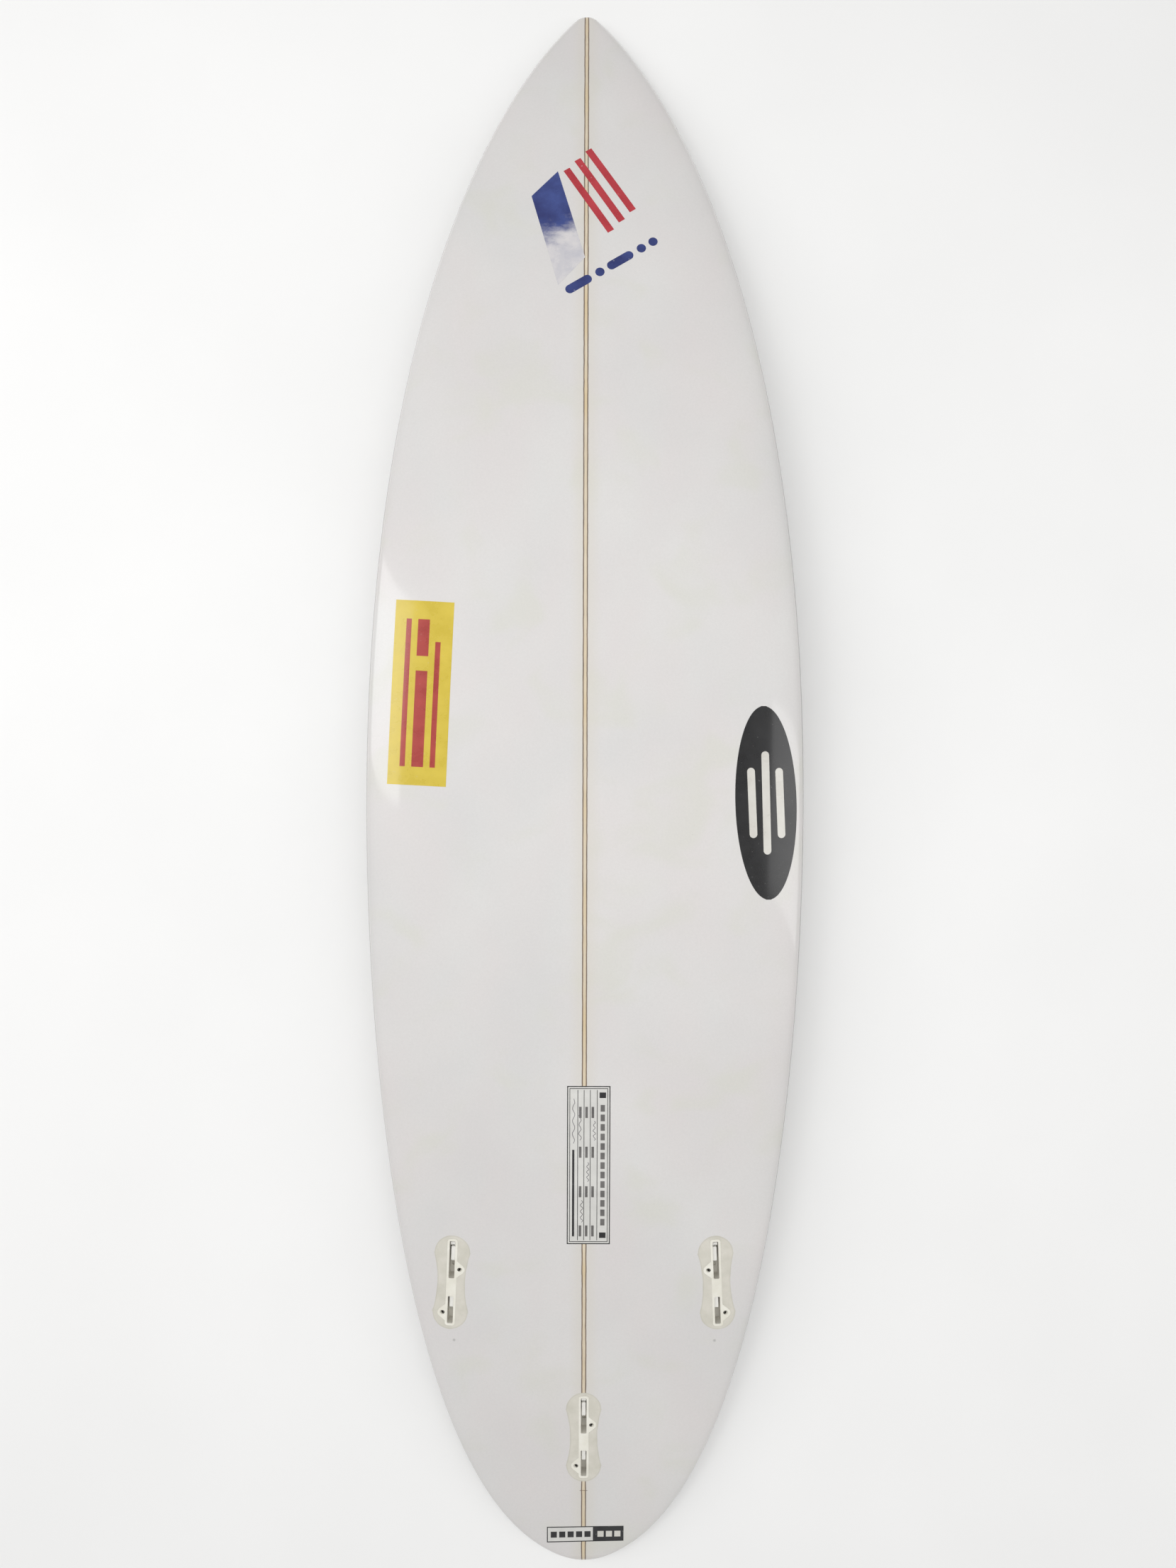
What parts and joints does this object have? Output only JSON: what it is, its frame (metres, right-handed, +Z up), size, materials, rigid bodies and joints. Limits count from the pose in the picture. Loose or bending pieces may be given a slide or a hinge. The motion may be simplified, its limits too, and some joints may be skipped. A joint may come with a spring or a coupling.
{
  "type": "surfboard",
  "caption": "Round-tail shortboard lying deck down, with a glassed foam blank, a wooden stringer, three two-slot fin plugs with grub screws and a leash cup.",
  "frame": {"origin": "middle of the board's length and width, on the plane that the two tips of its deck rest on", "axes": "+X across the width, +Y from the tail to the nose, +Z up from the deck to the bottom, which faces up"},
  "size_m": [0.4824, 1.829, 0.1154],
  "materials": {
    "glass": "gloss laminate, slightly aged",
    "foam": "matt shaped foam",
    "wood": "planed softwood",
    "glue": "dark resin glue",
    "core": "dense moulded foam",
    "plug": "moulded plastic",
    "steel": "bright",
    "nylon": "moulded nylon",
    "blue": "printed film",
    "red": "printed film",
    "yellow": "vinyl sticker",
    "black": "vinyl sticker",
    "paper": "printed label"
  },
  "bodies": {
    "board": {"blank_left": "foam", "blank_right": "foam", "bottom_glass": "glass", "deck_glass": "glass", "fin_core_left": "core", "fin_core_rear": "core", "fin_core_right": "core", "fin_plug_left": "plug", "fin_plug_rear": "plug", "fin_plug_right": "plug", "glue_line_left": "glue", "glue_line_right": "glue", "leash_cup": "plug", "leash_pin": "steel", "nose_band": "blue", "nose_panel": "blue", "nose_stripe_1": "red", "nose_stripe_2": "red", "nose_stripe_3": "red", "rail_decal": "black", "side_sticker": "yellow", "spec_label": "paper", "stringer": "wood", "tail_label": "paper"},
    "grub_screw_rear_front": {"grub_screw_rear_front": "steel"},
    "grub_screw_rear_rear": {"grub_screw_rear_rear": "steel"},
    "fin_roller_rear": {"fin_roller_rear": "nylon", "fin_roller_rear_bar": "steel"},
    "grub_screw_left_front": {"grub_screw_left_front": "steel"},
    "grub_screw_left_rear": {"grub_screw_left_rear": "steel"},
    "fin_roller_left": {"fin_roller_left": "nylon", "fin_roller_left_bar": "steel"},
    "grub_screw_right_front": {"grub_screw_right_front": "steel"},
    "grub_screw_right_rear": {"grub_screw_right_rear": "steel"},
    "fin_roller_right": {"fin_roller_right": "nylon", "fin_roller_right_bar": "steel"}
  },
  "joints": [
    {"name": "grub_screw_rear_front_travel", "type": "slide", "parent": "board", "child": "grub_screw_rear_front", "axis": [-0.5, 0.134, -0.8556], "range_m": [-0.004, 0.0015]},
    {"name": "grub_screw_rear_rear_travel", "type": "slide", "parent": "board", "child": "grub_screw_rear_rear", "axis": [0.5, 0.134, -0.8556], "range_m": [-0.004, 0.0015]},
    {"name": "fin_roller_rear_click", "type": "slide", "parent": "board", "child": "fin_roller_rear", "axis": [0, 0.988, 0.1548], "range_m": [0, 0.0012], "stiffness_N_per_m": 400},
    {"name": "grub_screw_left_front_travel", "type": "slide", "parent": "board", "child": "grub_screw_left_front", "axis": [-0.4816, 0.1314, -0.8665], "range_m": [-0.004, 0.0015]},
    {"name": "grub_screw_left_rear_travel", "type": "slide", "parent": "board", "child": "grub_screw_left_rear", "axis": [0.5172, 0.0843, -0.8517], "range_m": [-0.004, 0.0015]},
    {"name": "fin_roller_left_click", "type": "slide", "parent": "board", "child": "fin_roller_left", "axis": [0.0449, 0.9911, 0.1253], "range_m": [0, 0.0012], "stiffness_N_per_m": 400},
    {"name": "grub_screw_right_front_travel", "type": "slide", "parent": "board", "child": "grub_screw_right_front", "axis": [0.4816, 0.1314, -0.8665], "range_m": [-0.004, 0.0015]},
    {"name": "grub_screw_right_rear_travel", "type": "slide", "parent": "board", "child": "grub_screw_right_rear", "axis": [-0.5172, 0.0843, -0.8517], "range_m": [-0.004, 0.0015]},
    {"name": "fin_roller_right_click", "type": "slide", "parent": "board", "child": "fin_roller_right", "axis": [-0.0449, 0.9911, 0.1253], "range_m": [0, 0.0012], "stiffness_N_per_m": 400}
  ]
}
